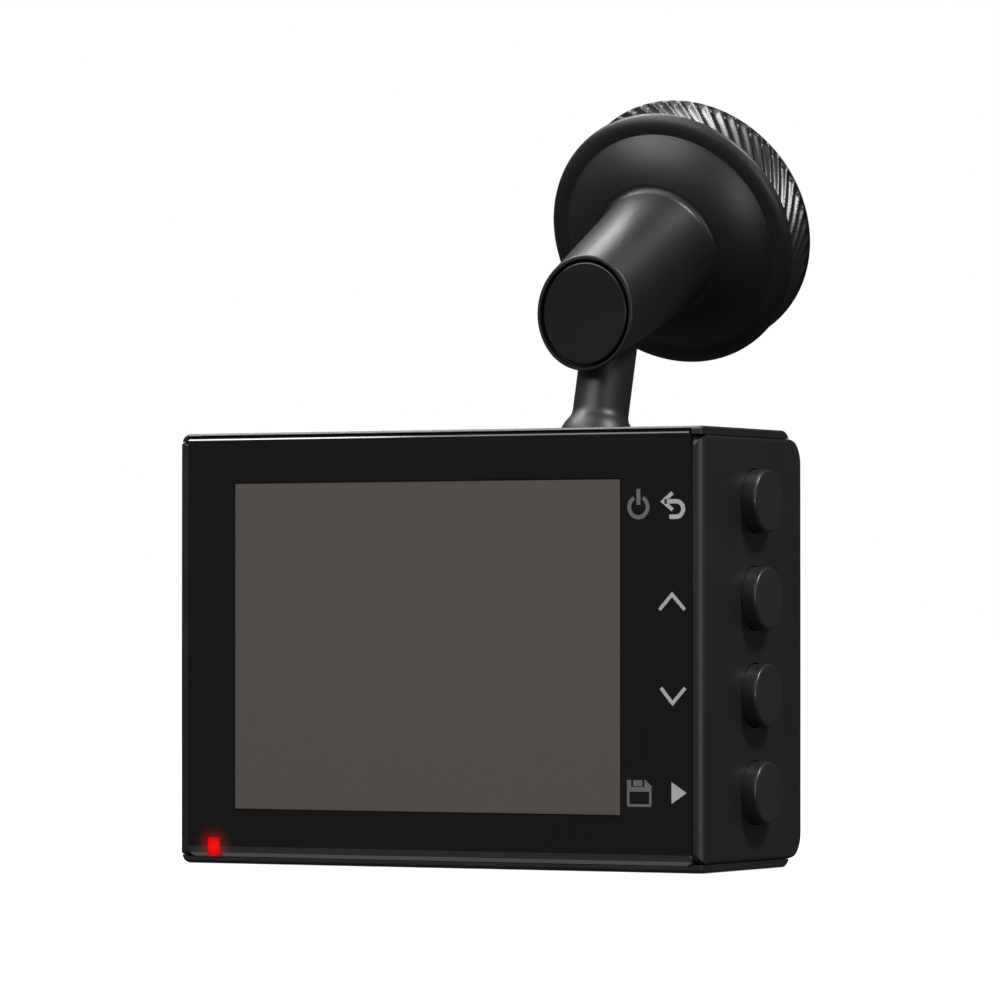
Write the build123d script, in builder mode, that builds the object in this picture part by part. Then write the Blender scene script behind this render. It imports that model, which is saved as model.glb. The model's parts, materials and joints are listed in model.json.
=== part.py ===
"""Compact dash camera hanging from an adhesive windshield mount.

Frame: the origin is the centre of the adhesive face that sticks to the windshield.
+X is to the driver's right, +Y is forward along the car, +Z is up. Millimetres.
"""
import os
from math import cos, radians, sin

from build123d import *

os.makedirs("parts", exist_ok=True)

# Mount: places along its axis are distances from the adhesive face towards the driver
MOUNT_TILT = 22.5  # elevation of the axis of the mount's disc and barrel
PAD_R = 10.8
PAD_T = 0.8
PLATE_R = 11.0
PLATE_T = 1.0
COLLAR_WALL = 1.3
HUB_R = 4.5
HUB_HOLE_DEPTH = 3.4
DISC_R = 12.6
RING_R = 12.5
RING_BORE_R = 8.9
RING_CLEARANCE = 0.15
RING_START = 1.1
RING_STEP = 1.9  # the ring's rear skirt, over the base plate, ends here
RING_END = 5.5
RUNNING_GAP = 0.1
KNURL_COUNT = 54
KNURL_SLANT = 38.5
KNURL_DEPTH = 0.4
KNURL_WIDTH = 0.6
DISC_START = RING_END + RUNNING_GAP
DISC_T = 0.95
DISC_EDGE_W = 1.8  # width of the disc's rounded edge
DOME_H = 2.6  # rise of the disc's domed face, up to the barrel's root
DOME_BULGE = 0.35  # its bulge over a straight cone
BARREL_R = 5.95
BARREL_END_RX = 5.01  # half the width of the barrel's upright end
BARREL_END_RZ = 5.43
BARREL_FILLET = 0.7
BARREL_END_Y = -23.47
BARREL_END_Z = -10.14
BARREL_BORE_R = 3.9
BARREL_FLOOR = 8.6
BARREL_RIM = 0.33
RIM_EDGE = 0.15  # rounding of the barrel's rim and of its cap
CAP_GROOVE = 0.32
CAP_T = 0.85
CAP_RECESS_DEPTH = 0.9
CAP_SKIRT_START = 21.0
CAP_SKIRT_L = 2.6
CAP_SKIRT_WALL = 0.9
NECK_R = 2.64
NECK_LENGTH = 15.0
NECK_LEAN = 15.6  # lean of the neck towards the windshield
NECK_FILLET = 1.5
CLAMP_SCREW_R = 1.5
CLAMP_HEAD_R = 3.0
CLAMP_HEAD_T = 2.0
CLAMP_SCREW_REACH = 3.0  # into the hub
DRIVE_SIZE = (3.6, 0.8)  # cross recess in its head
DRIVE_DEPTH = 1.0
WASHER_R = 3.6
WASHER_T = 0.6

# Camera housing: X and Z from the housing's centre, depth forward from the glass face
CAM_X = -11.0
REAR_Y = -32.7
CAM_Z = -41.4
CAM_W = 55.8
CAM_H = 40.6
CAM_D = 20.5
TOP_WALL = 1.8
SHELL_START = 0.1
SHELL_END = 18.6
SHELL_FRONT_WALL = 1.4
SHELL_CORNER = 1.5
SHELL_REAR_EDGE = 0.35
SHELL_SIDE_EDGE = 0.25
SHELL_SIDE_INSET = 0.1  # the shell's ends stand this far inside the end caps' faces
CORE_H = 39.1  # height of the end caps and the front cover, lower than the shell
CORE_START = 0.3
CORE_CORNER = 2.4
NEAR_CORNER = 1.1  # corners of the right end cap beside the glass, seen from the side
LEFT_NEAR_CORNER = 0.4  # the same on the left end cap
LEFT_CORNER = 1.3  # rounding of the housing's left corners, seen from the rear
CAP_WALL = 1.6
END_EDGE = 1.1  # rounding of the end caps towards the glass
CAP_EDGE = 0.4  # rounding of their other outer edges
SEAT_GAP = 0.02  # between the shell and the pieces seated in it
LUG_DEPTH = 9.0
LUG_L = 8.0
LUG_T = 1.2
LUG_REACH = 1.8
GROOVE_PLACE = (-12.0, -2.5)  # middle of the front cover's grooves
GROOVE_COUNT = 8
GROOVE_PITCH = 3.0
GROOVE_L = 20.0
GROOVE_W = 1.2
GROOVE_DEPTH = 0.5
COVER_GAP = 0.05
COVER_SCREW_REACH = 1.3
GLASS_W = 53.3
GLASS_H = 39.7
GLASS_T = 0.9
GLASS_UP = 0.2  # the glass is centred this far above the housing's centre
GLASS_GAP = 0.05
GLASS_TOP_BEVEL = 0.4
GLASS_SIDE_BEVEL = 0.15
GLASS_LOWER_BEVEL = 0.6  # height of the broad facet along the bottom
GLASS_FOOT = 0.35  # height of the facet under it
GLASS_FACETS_IN = (0.3, 0.55)  # depths at which the two facets end
GLASS_CORNER = 0.8
SCREEN_W = 40.8
SCREEN_H = 30.6
SCREEN_X = -1.0
TAPE_W = 51.0
TAPE_H = 36.6
TAPE_T = 0.2
TAPE_MARGIN = 1.2  # by which the tape's window is larger than the screen
FRAME_T = 2.4
LCD_W = 44.6
LCD_H = 34.2
LCD_T = 1.3

# Buttons on the right end
BUTTON_R = 2.9
BUTTON_PROUD = 1.5
BUTTON_EDGE = 0.3
BUTTON_DEPTH_Y = 10.8
BUTTON_PITCH = 8.95
BUTTON_TRAVEL = 0.5
BUTTON_CLEARANCE = 0.12
BUTTON_FLANGE_R = 3.5
BUTTON_FLANGE_T = 0.6
SWITCH_W = 3.6
SWITCH_T = 0.9
BUTTON_BOARD_SIZE = (7.0, 33.0)
BUTTON_NAMES = ("button_select", "button_down", "button_up", "button_back")

# Ball joint on the housing's top
BALL_R = 3.7
BALL_Y = -21.05
BALL_SINK = 1.33  # the ball's centre is this far under the housing's top
CUP_CLEARANCE = 0.1  # round the ball
CUP_GAP = 0.1  # round the cup
CUP_R = 4.8
CUP_FLANGE_R = 5.3
CUP_FLANGE_T = 0.8
CUP_DEPTH = 6.9
CUP_MOUTH_BEVEL = 0.3
RETAINER_W = 20.0
RETAINER_D = 10.6
RETAINER_CORNER = 1.5
RETAINER_T = 0.8
RETAINER_SCREW_X = 8.0
RETAINER_SCREW_REACH = 1.9
MAGNET_R = 2.55
MAGNET_T = 1.35
MAGNET_GAP = 0.05

# Lens on the front
LENS_X = 11.0
LENS_HOLE_R = 8.6
LENS_BARREL_R = 6.4
LENS_GLASS_R = 5.0
LENS_PROUD = 0.6

# Boards and the parts on them
BOARD_T = 1.0
MAIN_BOARD_START = 4.6
MAIN_BOARD_X = -1.2
MAIN_BOARD_SIZE = (46.4, 36.0)
SHIELD_PLACE = (9.5, -10.5)
SHIELD_SIZE = (13.0, 12.0, 0.6)  # width, height, corners
SHIELD_T = 1.4
SENSOR_BOARD_SIZE = (17.0, 16.0)
SENSOR_SIZE = (7.0, 6.0)
SENSOR_T = 0.7
SENSOR_BOARD_START = 7.2
POST_R = 1.9
POST_HOLE_R = 0.75
POST_HOLE_DEPTH = (4.0, 2.0)  # behind the main board, over the socket's retainer
SCREW_HOLE_R = 0.85  # where a screw passes through
SCREW_HEAD_R = 1.4
SCREW_HEAD_T = 0.9
POSTS = [(-21.8, -16.0), (-21.8, 16.0), (19.0, -16.0), (-3.0, 16.0)]
COVER_SCREWS = [(-23.5, -13.0), (-23.5, 13.0), (23.0, -15.5), (23.0, 15.5)]
CARD_X = -7.0
CARD_W = 11.0
CARD_L = 15.0
CARD_T = 0.9
CARD_GAP = 0.4  # by which its openings are larger
CARD_CORNER = 0.6
CARD_HEEL = 0.8  # by which the card is shorter than its slot
SLOT_W = 14.0
SLOT_L = 14.6
SLOT_T = 2.1
SLOT_END_WALL = 1.0
CARD_START_Y = 6.3
SPEAKER_X = 9.0
SPEAKER_R = 4.6
SPEAKER_T = 2.6
SPEAKER_HOLE_PITCH = 2.0
SPEAKER_HOLE_R = 0.55
SPEAKER_Y = 12.5
USB_Z = 8.0
USB_Y = 7.6
USB_T = 3.0
USB_W = 8.2
USB_L = 6.0
USB_IN = 0.5  # its mouth is this far inside the end wall's face
USB_WALL = 0.3
USB_TONGUE = (0.8, 5.6)
USB_GAP = 0.4
BATTERY_PLACE = (-13.4, -5.0)
BATTERY_SIZE = (16.0, 13.0, 1.0)  # width, height, corners
BATTERY_END = 16.2
BATTERY_T = 5.6
BATTERY_EDGE = 0.5
MIC_X = -6.0
MIC_Z = 12.0
MIC_R = 1.5
MIC_T = 2.4
MIC_HOLE_R = 0.5
LED_X = -23.7
PIPE_W = 1.3
PIPE_H = 1.8
PIPE_LEG_H = 0.6
PIPE_SUNK = 0.02  # under the glass's face
LED_T = 0.9

# Worked out from the above
TOP_Z = CAM_Z + CAM_H / 2
BALL_Z = TOP_Z - BALL_SINK
HALF_W = CAM_W / 2
CAVITY_W = CAM_W - 2 * CAP_WALL
CAVITY_H = CAM_H - 2 * TOP_WALL
GLASS_BOTTOM = GLASS_UP - GLASS_H / 2
GLASS_TOP = GLASS_UP + GLASS_H / 2
COLLAR_R = RING_BORE_R - RING_CLEARANCE
HUB_END = DISC_START - RUNNING_GAP
CLAMP_HOLE_R = CLAMP_SCREW_R + 0.2
CLAMP_HEAD_START = BARREL_FLOOR + WASHER_T + RUNNING_GAP
RETAINER_TOP = TOP_Z - TOP_WALL - CUP_FLANGE_T - 2 * RUNNING_GAP
COVER_T = CAM_D - SHELL_END - COVER_GAP
FRAME_START = GLASS_T + TAPE_T
PIPE_LEG_Z = GLASS_BOTTOM + PIPE_H - 0.2
PIPE_END = MAIN_BOARD_START - LED_T
CHIP_START = MAIN_BOARD_START + BOARD_T
SLOT_FLOOR = -CAM_H / 2 + TOP_WALL + 0.3
CARD_BOTTOM = SLOT_FLOOR - 1.7
FLANGE_START = HALF_W - CAP_WALL - RUNNING_GAP - BUTTON_FLANGE_T
SWITCH_START = FLANGE_START - BUTTON_TRAVEL - RUNNING_GAP - SWITCH_T
FRONT_WALL_START = SHELL_END - SHELL_FRONT_WALL
AXIS_OUT = (0, -cos(radians(MOUNT_TILT)), -sin(radians(MOUNT_TILT)))
EPS = 0.5  # how far a cut runs past the faces that it opens


def mount_plane(distance):
    """Plane across the mount's axis, facing the driver, at a distance from the windshield."""
    origin = tuple(distance * a for a in AXIS_OUT)
    return Plane(origin=origin, x_dir=(1, 0, 0), z_dir=AXIS_OUT)


def rear_plane(depth):
    """Plane facing the driver, at a depth behind the glass face; local axes are X and Z."""
    return Plane(origin=(CAM_X, REAR_Y + depth, CAM_Z), x_dir=(1, 0, 0), z_dir=(0, -1, 0))


def side_plane(x):
    """Plane facing +X at x from the housing's centre; local axes are depth and Z."""
    return Plane(origin=(CAM_X + x, REAR_Y, CAM_Z), x_dir=(0, 1, 0), z_dir=(1, 0, 0))


def level_plane(z):
    """Plane facing up at z from the housing's centre; local axes are X and depth."""
    return Plane(origin=(CAM_X, REAR_Y, CAM_Z + z), x_dir=(1, 0, 0), z_dir=(0, 0, 1))


def save(piece, label):
    """Label a finished piece and write its STEP file."""
    piece.part.label = label
    export_step(piece.part, f"parts/{label}.step")


# ---------------------------------------------------------------- windshield base
with BuildPart() as adhesive_pad:
    with BuildSketch(mount_plane(0)):
        Circle(PAD_R)
    extrude(amount=PAD_T)
save(adhesive_pad, "adhesive_pad")

with BuildPart() as base_plate:
    with BuildSketch(mount_plane(PAD_T)):
        Circle(PLATE_R)
    extrude(amount=PLATE_T)
    with BuildSketch(mount_plane(PAD_T + PLATE_T)):
        Circle(COLLAR_R)
        Circle(COLLAR_R - COLLAR_WALL, mode=Mode.SUBTRACT)
        Circle(HUB_R)
    extrude(amount=HUB_END - PAD_T - PLATE_T)
    with BuildSketch(mount_plane(HUB_END)):
        Circle(CLAMP_SCREW_R)
    extrude(amount=-HUB_HOLE_DEPTH, mode=Mode.SUBTRACT)
save(base_plate, "base_plate")

with BuildPart() as lock_ring:
    with BuildSketch(mount_plane(RING_START)):
        Circle(RING_R)
    extrude(amount=RING_END - RING_START)
    with BuildSketch(mount_plane(RING_START)):
        Circle(RING_BORE_R)
    extrude(amount=RING_END - RING_START, mode=Mode.SUBTRACT)
    with BuildSketch(mount_plane(RING_START)):
        Circle(PLATE_R + RING_CLEARANCE)
    extrude(amount=RING_STEP - RING_START, mode=Mode.SUBTRACT)
    with Locations(mount_plane((RING_START + RING_END) / 2)):
        with PolarLocations(RING_R, KNURL_COUNT):
            Box(2 * KNURL_DEPTH, KNURL_WIDTH, 2 * (RING_END - RING_START),
                rotation=(KNURL_SLANT, 0, 0), mode=Mode.SUBTRACT)
save(lock_ring, "lock_ring")

with BuildPart() as clamp_screw:
    with BuildSketch(mount_plane(CLAMP_HEAD_START)):
        Circle(CLAMP_HEAD_R)
    extrude(amount=CLAMP_HEAD_T)
    with BuildSketch(mount_plane(CLAMP_HEAD_START + CLAMP_HEAD_T)):
        Rectangle(*DRIVE_SIZE)
        Rectangle(*DRIVE_SIZE, rotation=90)
    extrude(amount=-DRIVE_DEPTH, mode=Mode.SUBTRACT)
    with BuildSketch(mount_plane(CLAMP_HEAD_START)):
        Circle(CLAMP_SCREW_R)
    extrude(amount=-(CLAMP_HEAD_START - HUB_END + CLAMP_SCREW_REACH))
save(clamp_screw, "clamp_screw")

# ---------------------------------------------------------------- mount arm
barrel_end_plane = Plane(origin=(0, BARREL_END_Y, BARREL_END_Z), x_dir=(1, 0, 0),
                         z_dir=(0, -1, 0))
neck_axis = (0, sin(radians(NECK_LEAN)), cos(radians(NECK_LEAN)))
neck_plane = Plane(origin=(0, BALL_Y, BALL_Z), x_dir=(1, 0, 0), z_dir=neck_axis)

with BuildPart() as mount_arm:
    with BuildSketch(Plane(origin=(0, 0, 0), x_dir=(1, 0, 0),
                           z_dir=(0, -AXIS_OUT[2], AXIS_OUT[1]))):
        with BuildLine():
            Line((0, DISC_START), (DISC_R, DISC_START))
            EllipticalCenterArc((DISC_R - DISC_EDGE_W, DISC_START), DISC_EDGE_W, DISC_T,
                                arc_size=90)
            foot = (DISC_R - DISC_EDGE_W, DISC_START + DISC_T)
            root = (BARREL_R + BARREL_FILLET, DISC_START + DISC_T + DOME_H)
            ThreePointArc(foot, ((foot[0] + root[0]) / 2, (foot[1] + root[1]) / 2 + DOME_BULGE),
                          root)
            stub_end = (BARREL_R, root[1] + BARREL_FILLET)
            corner = BARREL_FILLET * (1 - sin(radians(45)))
            ThreePointArc(root, (BARREL_R + corner, root[1] + corner), stub_end)
            Line(stub_end, (0, stub_end[1]))
            Line((0, stub_end[1]), (0, DISC_START))
        make_face()
    revolve(axis=Axis((0, 0, 0), AXIS_OUT))
    with BuildSketch(mount_plane(stub_end[1])):
        Circle(BARREL_R)
    with BuildSketch(barrel_end_plane):
        Ellipse(BARREL_END_RX, BARREL_END_RZ)
    loft()
    with BuildSketch(neck_plane):
        Circle(NECK_R)
    extrude(amount=NECK_LENGTH)
    with Locations((0, BALL_Y, BALL_Z)):
        Sphere(BALL_R)
    ball_edge = mount_arm.edges().filter_by(GeomType.CIRCLE).filter_by(
        lambda e: abs(e.radius - NECK_R) < 0.01).sort_by(Axis.Z)[0]
    fillet(ball_edge, NECK_FILLET)
    rim = mount_arm.faces().sort_by(Axis.Y)[0].edges()
    fillet(rim, RIM_EDGE)
    with BuildSketch(mount_plane(BARREL_FLOOR)):
        Circle(BARREL_BORE_R)
    extrude(amount=-BARREL_END_Y, mode=Mode.SUBTRACT)
    with BuildSketch(barrel_end_plane):
        Ellipse(BARREL_END_RX - BARREL_RIM, BARREL_END_RZ - BARREL_RIM)
    extrude(amount=-CAP_RECESS_DEPTH, mode=Mode.SUBTRACT)
    with BuildSketch(mount_plane(BARREL_FLOOR)):
        Circle(CLAMP_HOLE_R)
    extrude(amount=-(BARREL_FLOOR - DISC_START + EPS), mode=Mode.SUBTRACT)
save(mount_arm, "mount_arm")

with BuildPart() as spring_washer:
    with BuildSketch(mount_plane(BARREL_FLOOR)):
        Circle(WASHER_R)
        Circle(CLAMP_HOLE_R, mode=Mode.SUBTRACT)
    extrude(amount=WASHER_T)
save(spring_washer, "spring_washer")

with BuildPart() as barrel_cap:
    with BuildSketch(barrel_end_plane):
        Ellipse(BARREL_END_RX - BARREL_RIM - CAP_GROOVE, BARREL_END_RZ - BARREL_RIM - CAP_GROOVE)
    extrude(amount=-CAP_T)
    fillet(barrel_cap.faces().sort_by(Axis.Y)[0].edges(), RIM_EDGE)
    with BuildSketch(mount_plane(CAP_SKIRT_START)):
        Circle(BARREL_BORE_R - RUNNING_GAP)
        Circle(BARREL_BORE_R - RUNNING_GAP - CAP_SKIRT_WALL, mode=Mode.SUBTRACT)
    extrude(amount=CAP_SKIRT_L)
save(barrel_cap, "barrel_cap")

# ---------------------------------------------------------------- ball socket
with BuildPart() as socket_cup:
    with BuildSketch(Plane.XY.offset(TOP_Z - CUP_DEPTH)):
        with Locations((0, BALL_Y)):
            Circle(CUP_R)
    extrude(amount=CUP_DEPTH)
    with BuildSketch(Plane.XY.offset(TOP_Z - TOP_WALL - RUNNING_GAP - CUP_FLANGE_T)):
        with Locations((0, BALL_Y)):
            Circle(CUP_FLANGE_R)
    extrude(amount=CUP_FLANGE_T)
    with Locations((0, BALL_Y, BALL_Z)):
        Sphere(BALL_R + CUP_CLEARANCE, mode=Mode.SUBTRACT)
    mouth = socket_cup.faces().sort_by(Axis.Z)[-1].edges().sort_by(SortBy.LENGTH)[0]
    chamfer(mouth, CUP_MOUTH_BEVEL)
    with BuildSketch(Plane.XY.offset(TOP_Z - CUP_DEPTH)):
        with Locations((0, BALL_Y)):
            Circle(MAGNET_R + MAGNET_GAP)
    extrude(amount=MAGNET_T + MAGNET_GAP, mode=Mode.SUBTRACT)
save(socket_cup, "socket_cup")

with BuildPart() as holding_magnet:
    with BuildSketch(Plane.XY.offset(TOP_Z - CUP_DEPTH)):
        with Locations((0, BALL_Y)):
            Circle(MAGNET_R)
    extrude(amount=MAGNET_T)
save(holding_magnet, "holding_magnet")

with BuildPart() as socket_retainer:
    with BuildSketch(Plane.XY.offset(RETAINER_TOP - RETAINER_T)):
        with Locations((0, BALL_Y)):
            RectangleRounded(RETAINER_W, RETAINER_D, RETAINER_CORNER)
            Circle(CUP_R + CUP_GAP, mode=Mode.SUBTRACT)
            with GridLocations(2 * RETAINER_SCREW_X, 1, 2, 1):
                Circle(SCREW_HOLE_R, mode=Mode.SUBTRACT)
    extrude(amount=RETAINER_T)
save(socket_retainer, "socket_retainer")

with BuildPart() as retainer_screws:
    with BuildSketch(Plane.XY.offset(RETAINER_TOP - RETAINER_T - SCREW_HEAD_T)):
        with Locations((0, BALL_Y)):
            with GridLocations(2 * RETAINER_SCREW_X, 1, 2, 1):
                Circle(SCREW_HEAD_R)
    extrude(amount=SCREW_HEAD_T)
    with BuildSketch(Plane.XY.offset(RETAINER_TOP - RETAINER_T)):
        with Locations((0, BALL_Y)):
            with GridLocations(2 * RETAINER_SCREW_X, 1, 2, 1):
                Circle(POST_HOLE_R)
    extrude(amount=RETAINER_T + RETAINER_SCREW_REACH)
save(retainer_screws, "retainer_screws")

# ---------------------------------------------------------------- camera housing
with BuildPart() as main_shell:
    shell_w = CAM_W - 2 * SHELL_SIDE_INSET
    with BuildSketch(side_plane(-shell_w / 2)) as shell_profile:
        with Locations(((SHELL_START + SHELL_END) / 2, 0)):
            Rectangle(SHELL_END - SHELL_START, CAM_H)
        fillet(shell_profile.vertices().group_by(Axis.X)[-1], SHELL_CORNER)
        fillet(shell_profile.vertices().group_by(Axis.X)[0], SHELL_REAR_EDGE)
    extrude(amount=shell_w)
    left_edges = main_shell.edges().filter_by(Axis.Y).group_by(Axis.X)[0]
    fillet(left_edges, LEFT_CORNER)
    fillet(main_shell.faces().sort_by(Axis.X)[-1].edges(), SHELL_SIDE_EDGE)
    # rounded like the left end cap, seen from above
    with BuildSketch(level_plane(-CAM_H / 2)) as shell_plan:
        with Locations((0, CAM_D / 2)):
            Rectangle(CAM_W, CAM_D)
        near_left = shell_plan.vertices().group_by(Axis.X)[0].sort_by(Axis.Y)[0]
        fillet(near_left, END_EDGE)
    extrude(amount=CAM_H, mode=Mode.INTERSECT)
    # open from the rear and at both ends
    with BuildSketch(rear_plane(FRONT_WALL_START)):
        Rectangle(CAM_W + 2 * EPS, CAVITY_H)
    extrude(amount=FRONT_WALL_START + EPS, mode=Mode.SUBTRACT)
    # seats of the end caps
    for side in (-1, 1):
        with BuildSketch(rear_plane(SHELL_END + EPS)):
            with Locations((side * (CAVITY_W + CAP_WALL) / 2, 0)):
                Rectangle(CAP_WALL, CORE_H + SEAT_GAP)
        extrude(amount=SHELL_END + 2 * EPS, mode=Mode.SUBTRACT)
    # seat of the glass
    with BuildSketch(rear_plane(GLASS_T + GLASS_GAP)):
        with Locations((0, GLASS_UP)):
            Rectangle(GLASS_W + 2 * GLASS_GAP, GLASS_H + 2 * GLASS_GAP)
    extrude(amount=GLASS_T + GLASS_GAP + EPS, mode=Mode.SUBTRACT)
    # posts behind the main board and bosses over the socket's retainer
    with BuildSketch(rear_plane(FRONT_WALL_START)):
        with Locations(*POSTS):
            Circle(POST_R)
    extrude(amount=FRONT_WALL_START - MAIN_BOARD_START - BOARD_T)
    with BuildSketch(Plane.XY.offset(RETAINER_TOP)):
        with Locations((0, BALL_Y)):
            with GridLocations(2 * RETAINER_SCREW_X, 1, 2, 1):
                Circle(POST_R)
    extrude(amount=TOP_Z - TOP_WALL - RETAINER_TOP)
    # openings: lens, ball cup, memory card, speaker, microphone and screws
    with BuildSketch(rear_plane(SHELL_END)):
        with Locations((LENS_X, 0)):
            Circle(LENS_HOLE_R)
        with Locations((MIC_X, MIC_Z)):
            Circle(MIC_R + RUNNING_GAP)
        with Locations(*COVER_SCREWS):
            Circle(SCREW_HOLE_R)
    extrude(amount=SHELL_FRONT_WALL + EPS, mode=Mode.SUBTRACT)
    with BuildSketch(Plane.XY.offset(TOP_Z)):
        with Locations((0, BALL_Y)):
            Circle(CUP_R + CUP_GAP)
    extrude(amount=-(TOP_WALL + EPS), mode=Mode.SUBTRACT)
    with BuildSketch(level_plane(-CAM_H / 2)):
        with Locations((CARD_X, CARD_START_Y + CARD_T / 2)):
            Rectangle(CARD_W + CARD_GAP, CARD_T + CARD_GAP)
        with Locations((SPEAKER_X, SPEAKER_Y)):
            with GridLocations(SPEAKER_HOLE_PITCH, SPEAKER_HOLE_PITCH, 4, 3):
                Circle(SPEAKER_HOLE_R)
    extrude(amount=TOP_WALL + EPS, mode=Mode.SUBTRACT)
    with BuildSketch(rear_plane(MAIN_BOARD_START + BOARD_T)):
        with Locations(*POSTS):
            Circle(POST_HOLE_R)
    extrude(amount=-POST_HOLE_DEPTH[0], mode=Mode.SUBTRACT)
    with BuildSketch(Plane.XY.offset(RETAINER_TOP)):
        with Locations((0, BALL_Y)):
            with GridLocations(2 * RETAINER_SCREW_X, 1, 2, 1):
                Circle(POST_HOLE_R)
    extrude(amount=POST_HOLE_DEPTH[1], mode=Mode.SUBTRACT)
save(main_shell, "main_shell")

BUTTON_Z = [GLASS_UP + (i - 1.5) * BUTTON_PITCH for i in range(4)]


def end_cap(side):
    """End wall of the housing on one side: 1 is the right end with the buttons."""
    middle_x = side * (CAVITY_W + CAP_WALL) / 2
    middle_depth = (CORE_START + CAM_D) / 2
    outer = -1 if side > 0 else 0
    with BuildPart() as cap:
        # rounded seen from above, then trimmed to its outlines from the side and the rear
        with BuildSketch(level_plane(-CORE_H / 2)) as plan:
            with Locations((middle_x, middle_depth)):
                Rectangle(CAP_WALL, CAM_D - CORE_START)
            corners = plan.vertices().group_by(Axis.X)[outer].sort_by(Axis.Y)
            fillet(corners[0], END_EDGE)
            fillet(corners[1], CAP_EDGE)
        extrude(amount=CORE_H)
        with BuildSketch(side_plane(middle_x)) as profile:
            with Locations((middle_depth, 0)):
                Rectangle(CAM_D - CORE_START, CORE_H)
            fillet(profile.vertices().group_by(Axis.X)[-1], CORE_CORNER)
            fillet(profile.vertices().group_by(Axis.X)[0],
                   NEAR_CORNER if side > 0 else LEFT_NEAR_CORNER)
        extrude(amount=CAP_WALL, both=True, mode=Mode.INTERSECT)
        with BuildSketch(rear_plane(middle_depth)) as end_view:
            with Locations((middle_x, 0)):
                Rectangle(CAP_WALL, CORE_H)
            fillet(end_view.vertices().group_by(Axis.X)[outer],
                   CAP_EDGE if side > 0 else LEFT_CORNER - CAP_EDGE)
        extrude(amount=CAM_D, both=True, mode=Mode.INTERSECT)
        # lugs that grip the shell from inside
        with BuildSketch(side_plane(side * CAVITY_W / 2)):
            for z in (-1, 1):
                with Locations((LUG_DEPTH, z * (CAVITY_H - LUG_T - 2 * RUNNING_GAP) / 2)):
                    Rectangle(LUG_L, LUG_T)
        extrude(amount=-side * LUG_REACH)
        # rebate for the glass
        with BuildSketch(rear_plane(GLASS_T + GLASS_GAP)):
            with Locations((0, GLASS_UP)):
                Rectangle(GLASS_W + 2 * GLASS_GAP, GLASS_H + 2 * GLASS_GAP)
        extrude(amount=GLASS_T + GLASS_GAP + EPS, mode=Mode.SUBTRACT)
        if side > 0:
            with BuildSketch(side_plane(HALF_W)):
                for z in BUTTON_Z:
                    with Locations((BUTTON_DEPTH_Y, z)):
                        Circle(BUTTON_R + BUTTON_CLEARANCE)
            extrude(amount=-(CAP_WALL + EPS), mode=Mode.SUBTRACT)
        else:
            with BuildSketch(side_plane(-HALF_W)):
                with Locations((USB_Y, USB_Z)):
                    RectangleRounded(USB_T + USB_GAP, USB_W + USB_GAP, 0.8)
            extrude(amount=CAP_WALL + EPS, mode=Mode.SUBTRACT)
    return cap


save(end_cap(1), "right_end_cap")
save(end_cap(-1), "left_end_cap")

with BuildPart() as front_cover:
    with BuildSketch(side_plane(-CAVITY_W / 2 + COVER_GAP)) as cover_profile:
        with Locations((CAM_D / 2, 0)):
            Rectangle(CAM_D, CORE_H)
        fillet(cover_profile.vertices().group_by(Axis.X)[-1], CORE_CORNER)
        with Locations((CAM_D - COVER_T / 2, 0)):
            Rectangle(COVER_T, CORE_H, mode=Mode.INTERSECT)
    extrude(amount=CAVITY_W - 2 * COVER_GAP)
    with BuildSketch(rear_plane(CAM_D)):
        with Locations((LENS_X, 0)):
            Circle(LENS_HOLE_R)
        with Locations((MIC_X, MIC_Z)):
            Circle(MIC_HOLE_R)
    extrude(amount=COVER_T + EPS, mode=Mode.SUBTRACT)
    # shallow horizontal grooves beside the lens
    with BuildSketch(rear_plane(CAM_D)):
        with Locations(GROOVE_PLACE):
            with GridLocations(1, GROOVE_PITCH, 1, GROOVE_COUNT):
                SlotOverall(GROOVE_L, GROOVE_W)
    extrude(amount=GROOVE_DEPTH, mode=Mode.SUBTRACT)
    with BuildSketch(rear_plane(CAM_D - COVER_T)):
        with Locations(*COVER_SCREWS):
            Circle(POST_HOLE_R)
    extrude(amount=-(COVER_SCREW_REACH + RUNNING_GAP), mode=Mode.SUBTRACT)
save(front_cover, "front_cover")

with BuildPart() as cover_screws:
    with BuildSketch(rear_plane(FRONT_WALL_START)):
        with Locations(*COVER_SCREWS):
            Circle(SCREW_HEAD_R)
    extrude(amount=SCREW_HEAD_T)
    with BuildSketch(rear_plane(FRONT_WALL_START)):
        with Locations(*COVER_SCREWS):
            Circle(POST_HOLE_R)
    extrude(amount=-(SHELL_FRONT_WALL + COVER_GAP + COVER_SCREW_REACH))
save(cover_screws, "cover_screws")

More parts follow.
